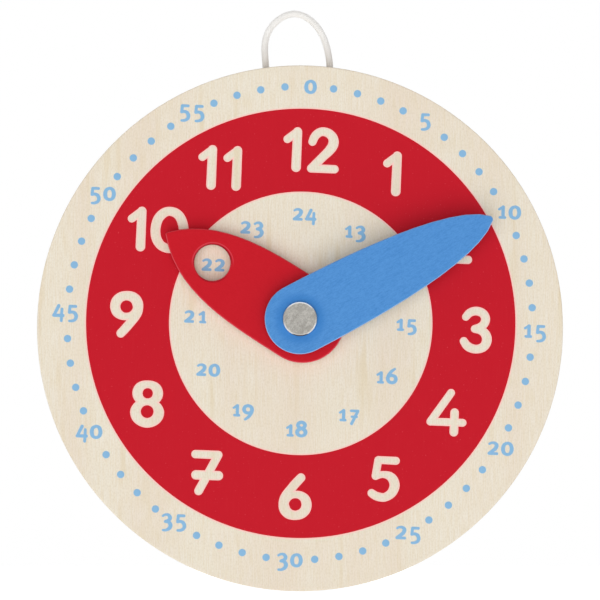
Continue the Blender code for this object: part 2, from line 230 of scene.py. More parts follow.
largeDigits = {
    # about 14 mm tall, round ends, bare wood in the red ring
    "0": [[(-0.2, 5.71, 1.46), (-2.1, 5.04, 1.54), (-3.65, 3.15, 1.6), (-4.3, 0.4, 1.6), (-4.0, -2.4, 1.6),
           (-2.75, -4.5, 1.54), (-1.1, -5.45, 1.48), (0.2, -5.65, 1.43), (1.8, -5.35, 1.48),
           (3.35, -4.1, 1.57), (4.2, -2.05, 1.6), (4.25, 0.5, 1.6), (3.45, 3.3, 1.6), (1.95, 5.09, 1.54),
           (-0.2, 5.71, 1.46)]],
    "1": [[(-1.6, 3.05, 1.31), (1.45, 5.42, 1.38)],
          [(1.4, 5.4, 1.49), (1.36, -5.4, 1.56)]],
    "2": [[(-3.25, 2.55, 1.35), (-2.65, 4.1, 1.41), (-1.55, 5.28, 1.42), (-0.2, 5.74, 1.42),
           (1.5, 5.34, 1.47), (2.75, 4.2, 1.57), (3.17, 2.8, 1.66), (2.85, 1.35, 1.65), (1.8, -0.15, 1.56),
           (0.45, -1.55, 1.45)],
          [(0.45, -1.55, 1.45), (-3.3, -5.55, 1.4)],
          [(-3.3, -5.55, 1.37), (3.75, -5.55, 1.37)]],
    "3": [[(-3.3, 3.9, 1.26), (-2.15, 5.2, 1.36), (-0.25, 5.8, 1.42), (1.75, 5.2, 1.44), (2.7, 3.6, 1.47),
           (2.25, 1.9, 1.42), (1.05, 0.9, 1.35), (-0.45, 0.35, 1.3)],
          [(-0.45, 0.35, 1.3), (1.45, 0.0, 1.42), (2.8, -1.1, 1.54), (3.35, -2.65, 1.6), (2.95, -4.3, 1.56),
           (1.8, -5.4, 1.47), (0.0, -5.8, 1.42), (-1.75, -5.4, 1.45), (-2.85, -4.6, 1.42),
           (-3.65, -3.5, 1.32)]],
    "4": [[(1.05, 6.0, 1.28), (-4.85, -2.95, 1.33)],
          [(-4.85, -2.95, 1.28), (4.9, -2.95, 1.28)],
          [(2.35, 0.05, 1.39), (2.35, -5.9, 1.42)]],
    "5": [[(-1.95, 5.72, 1.26), (3.4, 5.65, 1.3)],
          [(-1.95, 5.7, 1.28), (-2.6, 0.8, 1.29)],
          [(-2.6, 0.8, 1.29), (-1.3, 1.2, 1.15), (-0.05, 1.35, 1.15), (1.55, 1.0, 1.39),
           (2.75, -0.05, 1.58), (3.3, -1.75, 1.65), (2.9, -3.45, 1.6), (2.0, -4.65, 1.51),
           (0.45, -5.55, 1.42), (-1.05, -5.55, 1.42), (-2.45, -5.15, 1.4), (-3.6, -4.45, 1.33)]],
    "7": [[(-3.7, 5.6, 1.36), (3.25, 5.6, 1.37)],
          [(3.25, 5.6, 1.37), (-2.3, -5.55, 1.41)],
          [(-3.3, -0.7, 1.53), (3.55, -0.7, 1.53)]],
    "8": [[(0.15, 6.01, 1.25), (-1.28, 5.75, 1.39), (-2.5, 4.81, 1.6), (-2.97, 3.28, 1.66),
           (-2.47, 1.76, 1.57), (-1.24, 0.87, 1.3), (0.15, 0.68, 1.11), (1.54, 0.87, 1.3),
           (2.77, 1.76, 1.57), (3.27, 3.28, 1.66), (2.8, 4.81, 1.6), (1.58, 5.75, 1.39),
           (0.15, 6.01, 1.25)],
          [(0.2, 0.68, 1.11), (-1.32, 0.34, 1.18), (-2.68, -0.64, 1.48), (-3.35, -2.3, 1.72),
           (-2.87, -4.07, 1.72), (-1.52, -5.28, 1.61), (0.2, -5.71, 1.57), (1.92, -5.28, 1.61),
           (3.27, -4.07, 1.72), (3.75, -2.3, 1.72), (3.08, -0.64, 1.48), (1.72, 0.34, 1.18),
           (0.2, 0.68, 1.11)]],
    "9": [[(-0.15, 5.69, 1.52), (-1.88, 5.22, 1.59), (-3.09, 4.02, 1.67), (-3.49, 2.35, 1.66),
           (-2.97, 0.67, 1.59), (-1.77, -0.31, 1.38), (-0.49, -0.65, 1.23), (1.0, -0.5, 1.23),
           (2.1, 0.3, 1.15), (3.0, 1.4, 1.38), (3.44, 2.64, 1.7), (2.95, 4.24, 1.74), (1.65, 5.37, 1.65),
           (-0.15, 5.69, 1.52)],
          [(2.95, 4.24, 1.74), (3.44, 2.64, 1.7), (3.35, 0.9, 1.6), (2.7, -0.5, 1.55), (1.7, -1.95, 1.49),
           (0.15, -3.95, 1.48), (-1.45, -5.8, 1.44)]],
}
smallDigits = {
    # about 4.3 mm tall; 3, 4, 5, 7 and 9 hang below the line, 6 and 8 stand over it
    "0": [[(-0.05, 1.7, 0.48), (-0.94, 1.24, 0.57), (-1.31, 0.2, 0.65), (-1.14, -0.94, 0.63),
           (-0.64, -1.53, 0.53), (0.05, -1.71, 0.48), (0.79, -1.47, 0.53), (1.23, -0.75, 0.63),
           (1.31, 0.2, 0.65), (1.02, 1.13, 0.61), (0.57, 1.56, 0.53), (-0.05, 1.7, 0.48)]],
    "1": [[(-0.5, 0.8, 0.38), (0.6, 1.5, 0.46)],
          [(0.7, 1.5, 0.57), (0.76, -1.58, 0.55)],
          [(-0.17, -1.65, 0.43), (1.36, -1.65, 0.43)]],
    "2": [[(-1.2, 1.3, 0.38), (-0.6, 1.63, 0.4), (0.35, 1.61, 0.49), (0.98, 0.97, 0.65),
           (0.68, -0.05, 0.63), (-0.31, -0.91, 0.55), (-1.18, -1.56, 0.51)],
          [(-1.23, -1.6, 0.48), (1.18, -1.6, 0.46)]],
    "3": [[(-1.22, 1.3, 0.4), (-0.51, 1.69, 0.4), (0.39, 1.63, 0.51), (0.95, 0.85, 0.65),
           (0.64, 0.08, 0.55), (-0.43, -0.38, 0.49)],
          [(-0.43, -0.38, 0.49), (0.59, -0.55, 0.57), (1.17, -1.42, 0.68), (0.85, -2.39, 0.61),
           (-0.13, -3.0, 0.44), (-1.05, -3.05, 0.38)]],
    "4": [[(0.0, 1.53, 0.55), (-1.37, -1.45, 0.5)],
          [(-1.38, -1.4, 0.54), (1.4, -1.4, 0.52)],
          [(1.0, 0.55, 0.48), (0.94, -2.95, 0.49)]],
    "5": [[(-0.84, 1.52, 0.48), (0.9, 1.53, 0.46)],
          [(-0.84, 1.5, 0.51), (-1.0, -0.37, 0.49)],
          [(-1.0, -0.37, 0.49), (-0.14, -0.21, 0.49), (0.7, -0.57, 0.59), (1.11, -1.51, 0.61),
           (0.83, -2.43, 0.53), (-0.06, -2.9, 0.46), (-0.9, -2.96, 0.4)]],
    "7": [[(-1.1, 1.54, 0.44), (1.2, 1.54, 0.46)],
          [(1.16, 1.51, 0.5), (-0.8, -2.74, 0.52)],
          [(-0.8, -0.42, 0.4), (0.86, -0.42, 0.4)]],
    "8": [[(-0.08, 2.86, 0.56), (-0.93, 2.52, 0.6), (-1.24, 1.82, 0.62), (-0.8, 1.12, 0.6),
           (0.0, 0.78, 0.6), (0.8, 1.18, 0.6), (1.14, 1.92, 0.62), (0.78, 2.58, 0.6), (-0.08, 2.86, 0.56)],
          [(0.0, 0.74, 0.58), (-1.08, 0.22, 0.66), (-1.39, -0.62, 0.68), (-0.94, -1.4, 0.58),
           (0.05, -1.71, 0.5), (1.02, -1.31, 0.58), (1.39, -0.5, 0.68), (1.0, 0.3, 0.66),
           (0.0, 0.74, 0.58)]],
    "9": [[(-0.11, 1.68, 0.52), (-1.0, 1.3, 0.58), (-1.34, 0.42, 0.65), (-0.98, -0.42, 0.58),
           (0.0, -0.78, 0.52), (0.82, -0.52, 0.52)],
          [(-0.11, 1.68, 0.52), (0.85, 1.38, 0.58), (1.32, 0.48, 0.65), (1.11, -0.67, 0.62),
           (0.27, -2.03, 0.53), (-0.88, -2.94, 0.4)]],
}
for digits in (largeDigits, smallDigits):      # a 6 is a 9 turned upside down
    digits["6"] = [[(-x, -y, pen) for x, y, pen in stroke] for stroke in digits["9"]]
# where each numeral's middle lies on the dial: right and up of the dial's own middle, in millimetres
largePlaces = {
    "12": (1.07, 52.9),
    "1": (25.9, 46.6),
    "2": (46.5, 27.0),
    "3": (53.4, 0.1),
    "4": (45.5, -25.3),
    "5": (27.2, -46.3),
    "6": (0.5, -52.7),
    "7": (-26.7, -46.6),
    "8": (-45.6, -26.4),
    "9": (-53.1, 0.6),
    "10": (-44.5, 26.8),
    "11": (-26.5, 46.3),
}
minutePlaces = {
    "0": (0.1, 72.0),
    "5": (35.5, 62.7),
    "10": (62.1, 36.3),
    "15": (71.3, -0.2),
    "20": (62.3, -35.6),
    "25": (35.2, -63.0),
    "30": (-0.4, -72.7),
    "35": (-36.1, -62.1),
    "40": (-63.0, -36.1),
    "45": (-71.7, 0.2),
    "50": (-61.6, 36.4),
    "55": (-35.5, 62.5),
}
dayPlaces = {
    "24": (-0.1, 32.5),
    "13": (15.5, 27.9),
    "14": (27.8, 16.0),
    "15": (32.2, 0.2),
    "16": (26.9, -14.9),
    "17": (15.8, -27.9),
    "18": (0.1, -32.1),
    "19": (-16.4, -27.7),
    "20": (-27.5, -15.3),
    "21": (-32.1, 0.7),
    "22": (-27.3, 16.7),
    "23": (-15.9, 27.9),
}


def roundOutline(x, y, radius, sides):
    return [(x + radius * math.cos(fullTurn * i / sides), y + radius * math.sin(fullTurn * i / sides))
            for i in range(sides)]


def penShapes(line):
    # the flat shapes that one stroke covers: a round end at each end and four-cornered shapes between
    shapes = [roundOutline(*end, dial["penSides"]) for end in (line[0], line[-1])]
    sides = []
    for i, spot in enumerate(line):
        ahead = (line[min(i + 1, len(line) - 1)] - line[max(i - 1, 0)]).to_2d().normalized()
        if i in (0, len(line) - 1) and (line[0] - line[-1]).length == 0:
            ahead = (line[1] - line[-2]).to_2d().normalized()
        across = Vector((-ahead.y, ahead.x)) * spot.z
        sides.append((spot.to_2d() + across, spot.to_2d() - across))
    for here, there in zip(sides, sides[1:]):
        corners = [*here, *there]
        shapes.append([tuple(corners[k]) for k in convex_hull_2d(corners)])
    return shapes


def underPen(spots, strokes):
    # which of the spots, an array of right and up, lie under some stroke's pen
    covered = np.zeros(len(spots), bool)
    for line in strokes:
        knots = np.array(line)
        start = knots[:-1]
        step = np.diff(knots, axis=0)
        away = spots[:, None] - start[:, :2]
        share = (away * step[:, :2]).sum(2) / (step[:, :2] ** 2).sum(1)
        pen = start + share.clip(0, 1)[..., None] * step
        distance = np.linalg.norm(spots[:, None] - pen[..., :2], axis=2)
        covered |= (distance < pen[..., 2]).any(1)
    return covered


def numeral(text, digits, spacing, size, bold, place):
    # one numeral's strokes, each a line of (x, y, pen radius), with the middle of its box at its place
    strokes = []
    for count, digit in enumerate(text):
        start = count * spacing
        for knots in digits[digit]:
            strokes.append([Vector(((start + x) * size, y * size, pen * size * bold))
                            for x, y, pen in throughPoints(knots, dial["penSteps"])])
    spots = [spot for line in strokes for spot in line]
    right = place[0] - (min(x - pen for x, _, pen in spots) + max(x + pen for x, _, pen in spots)) / 2
    up = place[1] - (min(y - pen for _, y, pen in spots) + max(y + pen for _, y, pen in spots)) / 2
    return [[spot + Vector((right, up, 0)) for spot in line] for line in strokes]


def numeralPart(strokes):
    # the outlines of a numeral and the test for what they ink
    return [shape for line in strokes for shape in penShapes(line)], lambda spots: underPen(spots, strokes)


def ringPart(strokes, spread):
    # the ring with its bare numerals, grown by spread on all its edges
    sides = dial["ringSides"]
    inner = dial["ringInner"] - spread
    bare = [[Vector((x, y, pen - spread)) for x, y, pen in line] for line in strokes]
    outlines = [roundOutline(0, 0, dial["ringOuter"] + spread, sides), roundOutline(0, 0, inner, sides)]
    outlines += [shape for line in bare for shape in penShapes(line)]
    hole = inner * math.cos(math.pi / sides)
    return outlines, lambda spots: (np.linalg.norm(spots, axis=1) > hole) & ~underPen(spots, bare)


def dotPart(x, y):
    outline = roundOutline(x, y, dial["dotRadius"], dial["dotSides"])
    return [outline], lambda spots: np.ones(len(spots), bool)


def onBoard(spot, front):
    # from the dial's own millimetres to the place in front of the board's face
    turn = math.radians(dial["turn"])
    right = spot.x * math.cos(turn) + spot.y * math.sin(turn) + dial["middle"][0]
    up = spot.y * math.cos(turn) - spot.x * math.sin(turn) + dial["middle"][1]
    return Vector((right, -front, up)) * mm


def inkFilm(name, parts, front, back):
    # a thin film; each part's outlines are filled by themselves, where the part's test says that it is inked
    insideOnly = 1
    film = bmesh.new()
    for outlines, inked in parts:
        spots = []
        loops = []
        for outline in outlines:
            loops.append(list(range(len(spots), len(spots) + len(outline))))
            spots += [Vector(spot) for spot in outline]
        points, _, triangles, *_ = delaunay_2d_cdt(spots, [], loops, insideOnly, dial["sameSpot"])
        flat = np.array(points)
        corners = [film.verts.new(onBoard(point, front)) for point in points]
        for triangle, covered in zip(triangles, inked(flat[np.array(triangles)].mean(1))):
            if covered:
                film.faces.new([corners[k] for k in triangle])
    bmesh.ops.delete(film, geom=[corner for corner in film.verts if not corner.link_faces], context="VERTS")
    area = sum(face.calc_area() for face in film.faces) / mm**2
    print(name, "ready,", len(film.faces), "triangles,", round(area), "mm2")
    mesh = bpy.data.meshes.new(name)
    film.to_mesh(mesh)
    film.free()
    piece = addPiece(name, mesh, "board")
    thickness = piece.modifiers.new("film", "SOLIDIFY")
    thickness.thickness = (front + back) * mm
    thickness.offset = -1
    return piece


hourStrokes = []
for text, place in largePlaces.items():
    hourStrokes += numeral(text, largeDigits, dial["largeSpacing"].get(text, 0), 1, dial["largeBold"], place)
redRing = inkFilm("red_hour_ring", [ringPart(hourStrokes, 0)], dial["inkFront"], dial["inkBack"])
pinkBleed = inkFilm("pink_ring_bleed", [ringPart(hourStrokes, bleed["width"])],
                    bleed["front"], bleed["back"])

minuteParts = []
for text, place in minutePlaces.items():
    strokes = numeral(text, smallDigits, dial["digitWidth"], 1, dial["minuteBold"], place)
    minuteParts.append(numeralPart(strokes))
minuteNumerals = inkFilm("blue_minute_numerals", minuteParts, dial["inkFront"], dial["inkBack"])

dayParts = []
for text, place in dayPlaces.items():
    spacing = dial["narrowPairs"].get(text, dial["digitWidth"])
    strokes = numeral(text, smallDigits, spacing, dial["daySize"], dial["dayBold"], place)
    dayParts.append(numeralPart(strokes))
dayNumerals = inkFilm("blue_24_hour_numerals", dayParts, dial["inkFront"], dial["inkBack"])

dots = []
for minute in range(60):
    angle = fullTurn * minute / 60
    if minute % 5:                # every fifth minute has a numeral instead
        dots.append(dotPart(dial["dotReach"][0] * math.sin(angle) + dial["dotShift"][0],
                            dial["dotReach"][1] * math.cos(angle) + dial["dotShift"][1]))
minuteDots = inkFilm("blue_minute_dots", dots, dial["inkFront"], dial["inkBack"])


# materials
class Wire:
    # one value or colour on its way through a material; sums of wires become Math nodes
    def __init__(self, finish, socket):
        self.finish = finish
        self.socket = socket

    def combine(self, operation, first, second):
        return self.finish.node("ShaderNodeMath", {"operation": operation}, {0: first, 1: second})

    def __add__(self, other):
        return self.combine("ADD", self, other)

    def __radd__(self, other):
        return self.combine("ADD", other, self)

    def __sub__(self, other):
        return self.combine("SUBTRACT", self, other)

    def __rsub__(self, other):
        return self.combine("SUBTRACT", other, self)

    def __mul__(self, other):
        return self.combine("MULTIPLY", self, other)

    def __rmul__(self, other):
        return self.combine("MULTIPLY", other, self)


def shown(red, green, blue):
    # a colour by its levels on the screen, 0 to 255
    levels = [level / 255 for level in (red, green, blue)]
    straight = [level / 12.92 if level < 0.04 else ((level + 0.055) / 1.055) ** 2.4 for level in levels]
    return (*straight, 1)


class Finish:
    # a material or the world, with its nodes
    def __init__(self, owner, shader="Principled BSDF"):
        owner.use_nodes = True
        self.owner = owner
        self.tree = owner.node_tree
        self.shader = self.tree.nodes[shader]

    def node(self, kind, settings, sockets, output=0):
        made = self.tree.nodes.new(kind)
        for name, value in settings.items():
            setattr(made, name, value)
        for name, value in sockets.items():
            self.plug(made.inputs[name], value)
        return Wire(self, made.outputs[output])

    def plug(self, socket, value):
        if isinstance(value, Wire):
            self.tree.links.new(value.socket, socket)
        else:
            socket.default_value = value

    def give(self, **sockets):
        # the shader's own sockets, by name with _ for each space
        for name, value in sockets.items():
            self.plug(self.shader.inputs[name.replace("_", " ")], value)

    def place(self, degrees=0, middle=(0, 0)):
        # x across, y back and z along, turned clockwise as the piece lies and counted from its middle
        spot = self.node("ShaderNodeTexCoord", {}, {}, "Object")
        moved = self.node("ShaderNodeVectorMath", {"operation": "SUBTRACT"},
                          {0: spot, 1: (middle[0], 0, middle[1])})
        turned = self.node("ShaderNodeVectorRotate", {"rotation_type": "Y_AXIS"},
                           {"Vector": moved, "Angle": -math.radians(degrees)})
        return [self.node("ShaderNodeSeparateXYZ", {}, {0: turned}, axis) for axis in "XYZ"]

    def reach(self, across, along):
        # how far a place lies from the middle that it is counted from
        return self.node("ShaderNodeMath", {"operation": "SQRT"}, {0: across * across + along * along})

    def facing(self):
        # how far a surface faces the front or the back: 1 on the faces, 0 on the edges
        normal = self.node("ShaderNodeTexCoord", {}, {}, "Normal")
        back = self.node("ShaderNodeSeparateXYZ", {}, {0: normal}, "Y")
        return self.node("ShaderNodeMath", {"operation": "ABSOLUTE"}, {0: back})

    def upward(self):
        # how far a surface faces up, from -1 to 1
        normal = self.node("ShaderNodeTexCoord", {}, {}, "Normal")
        return self.node("ShaderNodeSeparateXYZ", {}, {0: normal}, "Z")

    def cloud(self, spot, sizes, detail=2.0):
        # smooth noise whose patches are as large as sizes says, in metres, along each axis
        scaled = [axis * (1 / size) for axis, size in zip(spot, sizes)]
        vector = self.node("ShaderNodeCombineXYZ", {}, {0: scaled[0], 1: scaled[1], 2: scaled[2]})
        return self.node("ShaderNodeTexNoise", {}, {"Vector": vector, "Scale": 1.0, "Detail": detail})

    def rise(self, value, low, high):
        # 0 below low, 1 above high, smooth between
        return self.node("ShaderNodeMapRange", {"interpolation_type": "SMOOTHSTEP"},
                         {"Value": value, "From Min": low, "From Max": high})

    def line(self, value, low, high):
        # 1 in the middle between low and high, 0 at both and beyond
        middle = (low + high) / 2
        return self.rise(value, low, middle) * (1 - self.rise(value, middle, high))

    def sway(self, noise, middle, swing):
        # goes up and down with a noise that is 0.5 in the mean
        return (noise - 0.5) * swing + middle

    def seen(self):
        # 1 for what the camera sees, straight or in shiny and clear surfaces, 0 for what lights the clock
        rays = 0
        for kind in ("Is Camera Ray", "Is Glossy Ray", "Is Transmission Ray"):
            rays = self.node("ShaderNodeMath", {"operation": "MAXIMUM"},
                             {0: rays, 1: self.node("ShaderNodeLightPath", {}, {}, kind)})
        return rays

    def blend(self, share, first, second):
        return self.node("ShaderNodeMix", {"data_type": "RGBA"}, {0: share, 6: first, 7: second}, 2)

    def choose(self, share, first, second):
        return self.node("ShaderNodeMix", {"data_type": "FLOAT"}, {0: share, 2: first, 3: second})

    def bump(self, height, depth):
        return self.node("ShaderNodeBump", {}, {"Strength": 1.0, "Distance": depth, "Height": height})


# In the finishes below a mark's size is what it measures across, through and along the grain, and a
# From is the pair of values between which it comes in. A Share is how strongly it shows: one number, or
# a mean and a swing for marks that follow their noise. Roughness has a mean and a swing too.
birch = {
    "pale": shown(238, 230, 215),
    "tan": shown(226, 210, 178),
    "pink": shown(234, 219, 203),
    "fleck": shown(204, 186, 156),
    "endGrain": shown(196, 168, 128),
    "plyThickness": 0.0081 / 7,       # a little over a seventh, so that both faces are outer plies
    "plyShift": 0.00003,              # keeps the front face clear of the first ply's edge
    "fibreSize": (0.00035, 0.0003, 0.006),
    "poreSize": (0.0004, 0.0004, 0.0007),
    "streakSize": (0.0035, 0.002, 0.035),
    "patchSize": (0.018, 0.01, 0.16),
    "fleckSize": (0.00028, 0.0003, 0.0022),
    "streakFrom": (0.56, 0.74),
    "patchFrom": (0.40, 0.70),
    "fleckFrom": (0.64, 0.74),
    "faceFrom": (0.02, 0.35),         # how squarely the surface faces front or back
    "streakShare": 0.65,
    "patchShare": 0.7,
    "fibreShare": (0.2, 1.7),
    "poreShare": (0.06, 0.9),
    "fleckShare": 0.25,
    "endGrainShare": (0.30, 0.5),     # on every ply, and on top of it where the grain is cut across
    "roughness": (0.62, 0.2),
    "specular": 0.15,
    "relief": 0.000012,
}


def birchPlywood(name):
    finish = Finish(bpy.data.materials.new(name))
    x, y, z = finish.place()
    layer = finish.node("ShaderNodeMath", {"operation": "FLOOR"},
                        {0: (y + birch["plyShift"]) * (1 / birch["plyThickness"])})
    crossed = finish.node("ShaderNodeMath", {"operation": "PINGPONG"}, {0: layer, 1: 1.0})
    across = finish.choose(crossed, x, z)
    along = finish.choose(crossed, z, x)
    spot = (across, y, along)
    fibre = finish.cloud(spot, birch["fibreSize"], detail=3.0)
    streak = finish.rise(finish.cloud(spot, birch["streakSize"]), *birch["streakFrom"])
    patch = finish.rise(finish.cloud(spot, birch["patchSize"]), *birch["patchFrom"])
    fleck = finish.rise(finish.cloud(spot, birch["fleckSize"]), *birch["fleckFrom"])
    pore = finish.cloud(spot, birch["poreSize"], detail=1.0)
    edge = 1 - finish.rise(finish.facing(), *birch["faceFrom"])
    everyPly, crossedPly = birch["endGrainShare"]
    color = finish.blend(streak * birch["streakShare"], birch["pale"], birch["tan"])
    color = finish.blend(patch * birch["patchShare"], color, birch["pink"])
    color = finish.blend(finish.sway(fibre, *birch["fibreShare"]), color, birch["tan"])
    color = finish.blend(finish.sway(pore, *birch["poreShare"]), color, birch["fleck"])
    color = finish.blend(fleck * birch["fleckShare"], color, birch["fleck"])
    color = finish.blend(edge * (everyPly + crossedPly * crossed), color, birch["endGrain"])
    finish.give(Base_Color=color, Roughness=finish.sway(fibre, *birch["roughness"]),
                Normal=finish.bump(fibre, birch["relief"]), Specular_IOR_Level=birch["specular"])
    return finish.owner


inks = {
    "red": {"color": shown(195, 24, 40), "speck": shown(216, 88, 96), "thin": shown(198, 40, 50)},
    "blue": {"color": shown(137, 184, 221), "speck": shown(164, 201, 226), "thin": shown(160, 192, 216)},
    "bleed": {"color": shown(248, 206, 196), "speck": shown(244, 212, 202), "thin": shown(246, 214, 204)},
    "fibreSize": (0.0004, 0.0003, 0.010),
    "speckSize": (0.0005, 0.0005, 0.0006),
    "fibreFrom": (0.52, 0.80),
    "speckFrom": (0.70, 0.76),
    "fibreShare": 0.35,
    "speckShare": 0.5,
    "roughness": (0.5, 0.2),
    "specular": 0.12,
    "relief": 0.000006,
}


def ink(name, tint):
    finish = Finish(bpy.data.materials.new(name))
    spot = finish.place()
    fibre = finish.cloud(spot, inks["fibreSize"], detail=3.0)
    speck = finish.rise(finish.cloud(spot, inks["speckSize"], detail=1.0), *inks["speckFrom"])
    thin = finish.rise(fibre, *inks["fibreFrom"])
    color = finish.blend(thin * inks["fibreShare"], tint["color"], tint["thin"])
    color = finish.blend(speck * inks["speckShare"], color, tint["speck"])
    finish.give(Base_Color=color, Roughness=finish.sway(fibre, *inks["roughness"]),
                Normal=finish.bump(fibre, inks["relief"]), Specular_IOR_Level=inks["specular"])
    return finish.owner


lacquers = {
    "red": {
        "color": shown(198, 24, 38),
        "grain": shown(191, 16, 32),
        # painted highlight on the rounded edges and beside the window
        "edge": shown(222, 92, 104),
        # painted shade round the rivet
        "paintedShading": shown(184, 12, 30),
        # painted shade round the window
        "rim": shown(140, 4, 24),
        "wall": shown(226, 54, 50),
        "turn": 302.6,                # the hand's way at rest, in degrees clockwise from the board's top
        "window": (-0.0265, 0.0198),  # its middle at rest, to the right of and above the board's middle
    },
    "blue": {
        "color": shown(86, 148, 212),
        "grain": shown(61, 124, 194),
        # painted highlight on the rounded edges
        "edge": shown(168, 198, 236),
        # painted shade round the rivet
        "paintedShading": shown(58, 127, 199),
        "turn": 62.3,
    },
    "pivot": (0, 0.0029),
    "fibreSize": (0.00025, 0.0004, 0.0018),
    "poreSize": (0.00035, 0.0004, 0.0005),
    "fleckSize": (0.0003, 0.0004, 0.0012),
    "fibreFrom": (0.42, 0.75),
    "fleckFrom": (0.62, 0.72),
    "fibreShare": 0.5,
    "poreShare": (0.13, 1.3),
    "fleckShare": 0.35,
    "rivetShadeReach": (0.0060, 0.0088),  # painted shade round the rivet, from its darkest to none
    "rivetShadeShare": 0.8,
    "edgeFrom": (0.25, 0.5),          # the facing where the painted highlight on a rounded edge comes in
    "edgeUntil": (0.85, 0.99),        # and where it goes out
    "upFrom": (-0.15, 0.15),
    "edgeHighlightShares": (0.75, 0.35),         # how strongly that painted highlight shows where an edge faces down, towards the light, and where up
    "rimLine": (0.0053, 0.0061),      # painted shade: a dark line round the window
    "rimFades": (0.0030, 0.0050),     # downwards from the window's middle, where that line shows again
    "rimShare": 0.6,                  # how strongly it does
    "ridgeLine": (0.0060, 0.0065),    # a painted highlight beside it
    "upperLinesFade": (-0.0015, 0.002),   # upwards from the window's middle, for both lines
    "ridgeShare": 0.5,
    "frontFrom": (0.05, 0.3),         # the facing that parts the window's wall from the front
    "wallReach": (0.0056, 0.0058),    # from the window's middle, past its wall
    "roughness": (0.45, 0.15),
    "specular": 0.13,
    "relief": 0.00001,
}


def lacquer(name, tint):
    # satin lacquer on plywood, its grain along the hand as the hand lies at rest
    finish = Finish(bpy.data.materials.new(name))
    spot = finish.place(tint["turn"], lacquers["pivot"])
    x, _, z = spot
    # painted shade on the hand round the rivet, standing in for the shadow of the rivet's head
    paintedShading = 1 - finish.rise(finish.reach(x, z), *lacquers["rivetShadeReach"])
    fibre = finish.cloud(spot, lacquers["fibreSize"], detail=3.0)
    grain = finish.rise(fibre, *lacquers["fibreFrom"])
    fleck = finish.rise(finish.cloud(spot, lacquers["fleckSize"]), *lacquers["fleckFrom"])
    pore = finish.cloud(spot, lacquers["poreSize"], detail=1.0)
    facing = finish.facing()
    edge = finish.rise(facing, *lacquers["edgeFrom"]) * (1 - finish.rise(facing, *lacquers["edgeUntil"]))
    edgeHighlight = finish.choose(finish.rise(finish.upward(), *lacquers["upFrom"]), *lacquers["edgeHighlightShares"])
    color = finish.blend(paintedShading * lacquers["rivetShadeShare"], tint["color"], tint["paintedShading"])
    color = finish.blend(grain * lacquers["fibreShare"], color, tint["grain"])
    color = finish.blend(fleck * lacquers["fleckShare"], color, tint["grain"])
    color = finish.blend(finish.sway(pore, *lacquers["poreShare"]), color, tint["grain"])
    # painted highlight along the rounded edges, stronger where an edge faces down
    color = finish.blend(edge * edgeHighlight, color, tint["edge"])
    if "window" in tint:
        right, _, up = finish.place(0, tint["window"])
        fromWindow = finish.reach(right, up)
        upper = finish.rise(up, *lacquers["upperLinesFade"])
        lower = finish.rise(0 - up, *lacquers["rimFades"])
        # painted shade in a dark line round the window, on its upper side and more weakly on its lower side
        rim = finish.line(fromWindow, *lacquers["rimLine"]) * (upper + lower * lacquers["rimShare"])
        # painted highlight just outside the window's dark line, on its upper side
        ridge = finish.line(fromWindow, *lacquers["ridgeLine"]) * upper
        beside = 1 - finish.rise(facing, *lacquers["frontFrom"])
        wall = beside * (1 - finish.rise(fromWindow, *lacquers["wallReach"]))
        color = finish.blend(rim, color, tint["rim"])
        color = finish.blend(wall, color, tint["wall"])
        color = finish.blend(ridge * lacquers["ridgeShare"], color, tint["edge"])
    finish.give(Base_Color=color, Roughness=finish.sway(fibre, *lacquers["roughness"]),
                Normal=finish.bump(fibre, lacquers["relief"]), Specular_IOR_Level=lacquers["specular"])
    return finish.owner


metals = {
    "nickel": {
        "color": shown(190, 187, 181),
        "dull": shown(144, 141, 135),
        # the pale colour of the scratches and of the painted highlight on the edge
        "scratchAndHighlight": shown(250, 248, 244),
        "roughness": 0.34,
    },
    "spring": {
        "color": shown(150, 150, 152),
        "dull": shown(112, 110, 110),
        "scratchAndHighlight": shown(190, 190, 192),
        "roughness": 0.32,
    },
    # painted shade along the bottom of the head's side
    "grime": shown(88, 74, 66),
    "mottleSize": (0.0011, 0.0011, 0.0019),
    "gritSize": (0.00035, 0.00035, 0.0005),
    "scratchSize": (0.00008, 0.0009, 0.0026),
    "scratchTurns": (40, -35),            # the two ways that the scratches run, in degrees clockwise
    "mottleFrom": (0.35, 0.65),
    "scratchFrom": (0.60, 0.68),
    "crossingFrom": (0.64, 0.72),
    "mottleShare": 0.5,
    "gritShare": (0.2, 2.2),
    "scratchShare": 0.5,
    "crossingShare": 0.3,
    "wornShare": 0.4,
    "topFrom": (0.955, 0.9985),           # the facing that parts the rounded edge from the flat top
    "sideUntil": (0.80, 0.97),            # and the steep side from the rounding
    "highlightAbove": (0.0026, 0.0042),      # of the pivot, where a highlight is painted on the head's rounded edge
    "highlightBelow": (0.0005, 0.0020),
    "grimeBelow": (0.0043, 0.0048),
    "mottleRoughness": 0.2,
    "highlightRoughness": 0.15,
    "wornDepth": 0.6,
    "relief": 0.000002,
}


